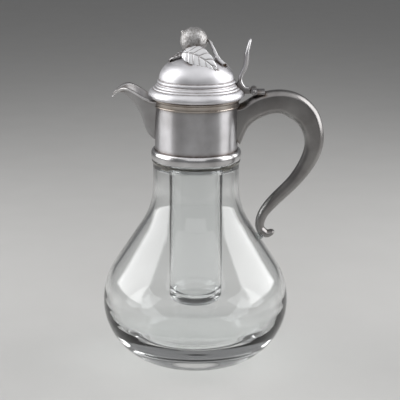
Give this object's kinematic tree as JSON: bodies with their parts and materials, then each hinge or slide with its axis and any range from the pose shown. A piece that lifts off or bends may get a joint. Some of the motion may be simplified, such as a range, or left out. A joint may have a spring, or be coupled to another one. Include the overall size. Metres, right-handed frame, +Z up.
{
  "type": "glass carafe",
  "caption": "Bulbous glass wine carafe with a silver-plated collar, beak spout, scroll handle, hinged domed lid with a fruit finial and a hanging glass ice tube.",
  "frame": {"origin": "centre of the flat standing face, on the body axis", "axes": "+Z up along the body axis, +X toward the handle, -X toward the spout, +Y to the back when the spout is on the left"},
  "size_m": [0.1827, 0.1554, 0.28],
  "materials": {
    "glass": "clear polished glass",
    "silver": "polished silver plate with light tarnish in the creases",
    "brass": "plated brass fastener",
    "cement": "matt plaster cement",
    "pad": "clear soft bumper",
    "seal": "translucent soft seal"
  },
  "bodies": {
    "jug": {"glass_body": "glass", "neck_cement": "cement", "collar": "silver", "collar_band": "silver", "collar_moulding": "silver", "tube_gallery": "silver", "spout": "silver", "spout_wire": "silver", "handle": "silver", "handle_pad": "pad", "hinge_saddle": "silver", "hinge_pin": "brass"},
    "lid": {"lid_shell": "silver", "lid_bezel": "silver", "hinge_strap": "silver", "thumb_piece": "silver", "finial_seat": "silver", "finial_fruit": "silver", "finial_stem": "silver", "leaf_front": "silver", "leaf_side": "silver", "finial_stud": "brass", "finial_washer": "brass", "finial_nut": "brass"},
    "tube": {"ice_tube": "glass", "tube_flange": "silver", "tube_seal": "seal"}
  },
  "joints": [
    {"name": "lid_hinge", "type": "hinge", "parent": "jug", "child": "lid", "pos_m": [0.0469, 0, 0.2286], "axis": [0, 1, 0], "range_deg": [0, 95]},
    {"name": "tube_lift", "type": "slide", "parent": "jug", "child": "tube", "axis": [0, 0, 1], "range_m": [0, 0.018]}
  ]
}
